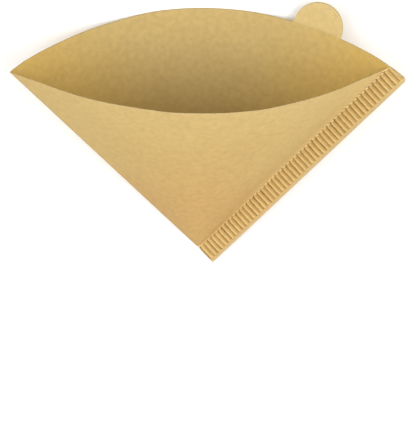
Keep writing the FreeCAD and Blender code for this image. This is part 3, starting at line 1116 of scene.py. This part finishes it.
@dataclass(frozen=True)
class CrepedPaper:
    """Unbleached filter paper: soft mottling, fine fibres, and painted light and shade on crimps
    and panels.

    The spans say where a tint fades. A reach is a distance from the apex, a gap one from the
    named line, and an inward or across distance one from the seam's foot.
    """

    name: str = "unbleached_paper_outside"
    sheet: Triple = (0.548, 0.382, 0.144)
    cloudy: Tint = Tint((0.517, 0.350, 0.127), 0.5)
    tip: Tint = Tint((0.516, 0.318, 0.115), 0.85)
    rim: Tint = Tint((0.580, 0.420, 0.170), 0.8)
    # Near the fold and the seam: inside, a deeper colour that is painted bounce light between the
    # walls; outside, plain sheet colour.
    crease: Tint = Tint((0.548, 0.382, 0.144), 0.9)
    # Outside, a lighter colour on the panel beside the seam's foot: painted light against the
    # shade in the valley there. Inside, a deeper painted bounce tint.
    foot: Tint = Tint((0.670, 0.480, 0.196), 1.0)
    # Outside, a lighter colour on the panel toward the seam's top corner: painted light. Inside, a
    # deeper painted bounce tint.
    corner: Tint = Tint((0.670, 0.480, 0.196), 0.6)
    fold: Tint = Tint((0.400, 0.290, 0.120), 0.5)
    # A lighter tab: painted light.
    tab: Tint = Tint((0.552, 0.412, 0.176), 1.0)
    margin: Tint = Tint((0.48, 0.373, 0.220), 0.8)
    hollow: Tint = Tint((0.490, 0.325, 0.112), 0.7)
    # A bright stripe just beside the seam's foot: painted light against the shade in the valley
    # there.
    foot_line: Tint = Tint((0.860, 0.640, 0.300), 0.95)
    # Dark stripes on the crimps' flanks: painted shade.
    pressed: Tint = Tint((0.18, 0.080, 0.018), 0.85)
    # Light stripes on the crimps' crests: painted highlight.
    crest: Tint = Tint((0.62, 0.45, 0.19), 0.8)
    # Near the cut edge: outside, a light line that is a painted highlight; inside, a dark line
    # that is painted shade.
    cut_edge: Tint = Tint((0.62, 0.48, 0.25), 0.75)
    tip_reach: Span = (30.0, 95.0)
    rim_reach: Span = (70.0, 120.0)
    crease_gap: Span = (5.0, 50.0)
    crease_reach: Span = (30.0, 90.0)
    panel_inward: Span = (-0.9, 0.0)
    foot_inward: Span = (0.0, 9.0)
    foot_reach: Span = (8.0, 50.0)
    corner_inward: Span = (4.0, 26.0)
    corner_reach: Span = (80.0, 115.0)
    fold_gap: Span = (0.2, 1.0)
    tab_past_rim: Span = (-0.2, 0.3)
    margin_across: Span = (7.3, 8.6)
    foot_line_inward: float = 0.35
    foot_line_gap: Span = (0.5, 1.0)
    cut_edge_gap: Span = (0.05, 0.45)
    least_shade: float = 0.85
    mottling: float = 0.30
    fibre_shade: float = 0.05
    relief: float = 0.4
    relief_depth: float = 0.06
    roughness: float = 0.86
    specular: float = 0.25

    @classmethod
    def inside(cls) -> "CrepedPaper":
        """Mix the inner side's finish: plainer, and painted darker and deeper in colour, as
        painted shade and bounce light.

        Returns:
            The inner side's finish.
        """
        # A deeper colour near the creases, the seam's foot and its top corner: painted bounce
        # light.
        edge = (0.535, 0.360, 0.099)
        return cls(name="unbleached_paper_inside_painted_shade", sheet=(0.495, 0.362, 0.144),
                   cloudy=Tint((0.468, 0.334, 0.127), 0.5), tip=Tint((0.47, 0.33, 0.12), 0.85),
                   rim=Tint((0.495, 0.362, 0.144), 0.8), crease=Tint(edge, 0.9),
                   foot=Tint(edge, 1.0), corner=Tint(edge, 0.6), foot_line=Tint(edge, 0.95),
                   cut_edge=Tint((0.31, 0.24, 0.10), 0.75))

    def make(self, grain: bpy.types.NodeTree, crimps: bpy.types.NodeTree) -> bpy.types.Material:
        """Make the material.

        Args:
            grain: The group with the sheet's mottling and relief.
            crimps: The group that marks the crimps.

        Returns:
            The finished material.
        """
        material, board, shader = start_material(self.name, self.roughness, self.specular)
        paper = board.add("ShaderNodeGroup", node_tree=grain).outputs
        marks = board.add("ShaderNodeGroup", node_tree=crimps).outputs
        colour = (*self.sheet, 1.0)
        for mask, tint in self._tints(board, paper["Clouds"], marks):
            colour = board.blend(board.times(mask, tint.amount), colour, (*tint.colour, 1.0))
        shade = board.plus(board.times(paper["Mottle"], self.mottling), self.least_shade)
        shade = board.minus(shade, board.times(paper["Fibres"], self.fibre_shade))
        grey = board.add("ShaderNodeCombineXYZ")
        for socket in grey.inputs:
            board.feed(socket, shade)
        colour = board.blend(1.0, colour, grey.outputs[0], "MULTIPLY")
        board.feed(shader.inputs["Base Color"], colour)
        board.relief(shader, paper["Height"], self.relief, self.relief_depth)
        return material

    def _tints(self, board: Board, clouds: Value,
               marks: bpy.types.bpy_prop_collection) -> list[tuple[Value, Tint]]:
        """Work out where each tint lies.

        Args:
            board: The material's board.
            clouds: The mask of the sheet's clouds.
            marks: The masks of the crimps.

        Returns:
            Each tint with its mask, in the order in which they are laid on.
        """
        flat = board.attribute("flat_place", "Vector")
        edge_gap = board.attribute("edge_gap")
        past_rim = board.attribute("past_rim")
        fold_gap = board.attribute("fold_gap")
        length = board.add("ShaderNodeVectorMath", operation="LENGTH")
        board.feed(length.inputs[0], flat)
        reach = length.outputs["Value"]
        across = board.parts(flat)["Y"]
        inward = board.times(across, -1.0)
        panel = board.step(inward, *self.panel_inward)
        from_crease = board.calculate("MINIMUM", fold_gap, inward)
        crease = board.fall(from_crease, *self.crease_gap)
        foot = board.times(board.fall(inward, *self.foot_inward), panel)
        corner = board.times(board.fall(inward, *self.corner_inward), panel)
        return [
            (clouds, self.cloudy),
            (board.fall(reach, *self.tip_reach), self.tip),
            (board.step(reach, *self.rim_reach), self.rim),
            (board.times(crease, board.step(reach, *self.crease_reach)), self.crease),
            (board.times(foot, board.step(reach, *self.foot_reach)), self.foot),
            (board.times(corner, board.step(reach, *self.corner_reach)), self.corner),
            (board.fall(fold_gap, *self.fold_gap), self.fold),
            (board.step(past_rim, *self.tab_past_rim), self.tab),
            (board.step(across, *self.margin_across), self.margin),
            (marks["Hollow"], self.hollow),
            (board.beside(inward, self.foot_line_inward, *self.foot_line_gap), self.foot_line),
            (marks["Painted Flank Shade"], self.pressed),
            (marks["Crest"], self.crest),
            (board.fall(edge_gap, *self.cut_edge_gap), self.cut_edge),
        ]


@dataclass(frozen=True)
class ShadedCutEdge:
    """The rough cut edge of the sheet, painted darker than its faces: painted shade along the rim.
    """

    name: str = "cut_paper_edge_painted_shade"
    fibre: Triple = (0.46, 0.34, 0.15)
    gap: Triple = (0.27, 0.19, 0.075)
    fibre_span: Span = (0.35, 0.65)
    fibre_scale: float = 900.0
    relief: float = 0.6
    relief_depth: float = 0.05
    roughness: float = 0.95
    specular: float = 0.15

    def make(self, grain: bpy.types.NodeTree) -> bpy.types.Material:
        """Make the material.

        Args:
            grain: The group with the sheet's mottling and relief.

        Returns:
            The finished material.
        """
        material, board, shader = start_material(self.name, self.roughness, self.specular)
        paper = board.add("ShaderNodeGroup", node_tree=grain)
        paper.inputs["Mottle Scale"].default_value = self.fibre_scale
        mask = board.step(paper.outputs["Mottle"], *self.fibre_span)
        colour = board.blend(mask, (*self.gap, 1.0), (*self.fibre, 1.0))
        board.feed(shader.inputs["Base Color"], colour)
        board.relief(shader, paper.outputs["Height"], self.relief, self.relief_depth)
        return material


@dataclass(frozen=True)
class TableTop:
    """A plain pale table top, with a faint unevenness."""

    name: str = "pale_table"
    colour: Triple = (0.92, 0.92, 0.915)
    uneven: Triple = (0.85, 0.85, 0.85)
    uneven_amount: float = 0.04
    uneven_scale: float = 3.0
    roughness: float = 0.9
    specular: float = 0.1

    def make(self) -> bpy.types.Material:
        """Make the material.

        Returns:
            The finished material.
        """
        material, board, shader = start_material(self.name, self.roughness, self.specular)
        place = board.add("ShaderNodeTexCoord").outputs["Object"]
        cloud = board.times(board.cloud(place, self.uneven_scale), self.uneven_amount)
        shade = board.blend(cloud, (*self.colour, 1.0), (*self.uneven, 1.0))
        board.feed(shader.inputs["Base Color"], shade)
        return material


@dataclass(frozen=True)
class SoftLight:
    """A round soft light that looks at the filter, with its place in metres."""

    name: str
    place: Triple
    size: float
    power: float

    def hang(self) -> bpy.types.Object:
        """Hang the light.

        Returns:
            Its object.
        """
        lamp = bpy.data.lights.new(self.name, "AREA")
        lamp.shape = "DISK"
        lamp.size = self.size
        lamp.energy = self.power
        box = bpy.data.objects.new(self.name, lamp)
        box.location = self.place
        box.rotation_euler = (-Vector(self.place)).to_track_quat("-Z", "Y").to_euler()
        bpy.context.collection.objects.link(box)
        return box


@dataclass(frozen=True)
class Studio:
    """The table, the soft lights and the camera."""

    floor_radius: float = 4.0
    floor_sides: int = 96
    floor_gap: float = 0.02
    key: SoftLight = SoftLight("soft_box", (-0.8, 0.2, 1.06), 1.3, 12.6)
    side: SoftLight = SoftLight("side_light", (0.81, 0.05, 1.08), 1.3, 13.2)
    room_light: float = 0.56
    eye: Triple = (-27.391, 270.626, 900.457)
    ahead: Triple = (0.033309, -0.332678, -0.942452)
    right: Triple = (0.999322, -0.003698, 0.036624)
    lens: float = 187.22
    sensor: float = 36.0
    view_span: Span = (0.05, 50.0)

    def lay_table(self) -> bpy.types.Object:
        """Lay a round table top just under the filter.

        Returns:
            The table top's object.
        """
        bm = bmesh.new()
        bmesh.ops.create_circle(bm, cap_ends=True, segments=self.floor_sides,
                                radius=self.floor_radius)
        bmesh.ops.translate(bm, verts=bm.verts, vec=(0.0, 0.0, -self.floor_gap * MM))
        mesh = bpy.data.meshes.new("table_top")
        bm.to_mesh(mesh)
        bm.free()
        table = bpy.data.objects.new("table_top", mesh)
        mesh.materials.append(TableTop().make())
        bpy.context.collection.objects.link(table)
        return table

    def light_room(self) -> None:
        """Fill the room with even light."""
        world = bpy.data.worlds.new("studio")
        world.use_nodes = True
        background = world.node_tree.nodes["Background"]
        background.inputs["Color"].default_value = (1.0, 1.0, 1.0, 1.0)
        background.inputs["Strength"].default_value = self.room_light
        bpy.context.scene.world = world

    def set_camera(self) -> bpy.types.Object:
        """Set the camera where it frames the pouch as seen from above its mouth.

        Returns:
            The camera's object.
        """
        back = -Vector(self.ahead).normalized()
        up = back.cross(Vector(self.right).normalized()).normalized()
        right = up.cross(back)
        data = bpy.data.cameras.new("camera")
        data.lens = self.lens
        data.sensor_width = self.sensor
        data.clip_start, data.clip_end = self.view_span
        camera = bpy.data.objects.new("camera", data)
        turn = Matrix((right, up, back)).transposed().to_4x4()
        camera.matrix_world = Matrix.Translation(Vector(self.eye) * MM) @ turn
        bpy.context.collection.objects.link(camera)
        bpy.context.scene.camera = camera
        return camera


def main() -> None:
    """Build the filter and its surroundings, and report each piece."""
    logging.basicConfig(level=logging.INFO, format="%(name)s: %(message)s")
    bpy.context.scene.view_settings.view_transform = "Standard"
    pouch = Pouch()
    paper_filter = PaperFilter(pouch, RimCut(pouch), CrimpedSeam(pouch))
    sheet = paper_filter.build()
    paper_filter.dress(sheet)
    LOG.info("%s: %d faces, %d crimps", sheet.name, len(sheet.data.polygons),
             paper_filter.seam.crimps)
    studio = Studio()
    LOG.info("%s: the table", studio.lay_table().name)
    for light in (studio.key, studio.side):
        LOG.info("%s: %.1f W", light.hang().name, light.power)
    studio.light_room()
    LOG.info("%s: %.0f mm lens", studio.set_camera().name, studio.lens)


if __name__ == "__main__":
    main()
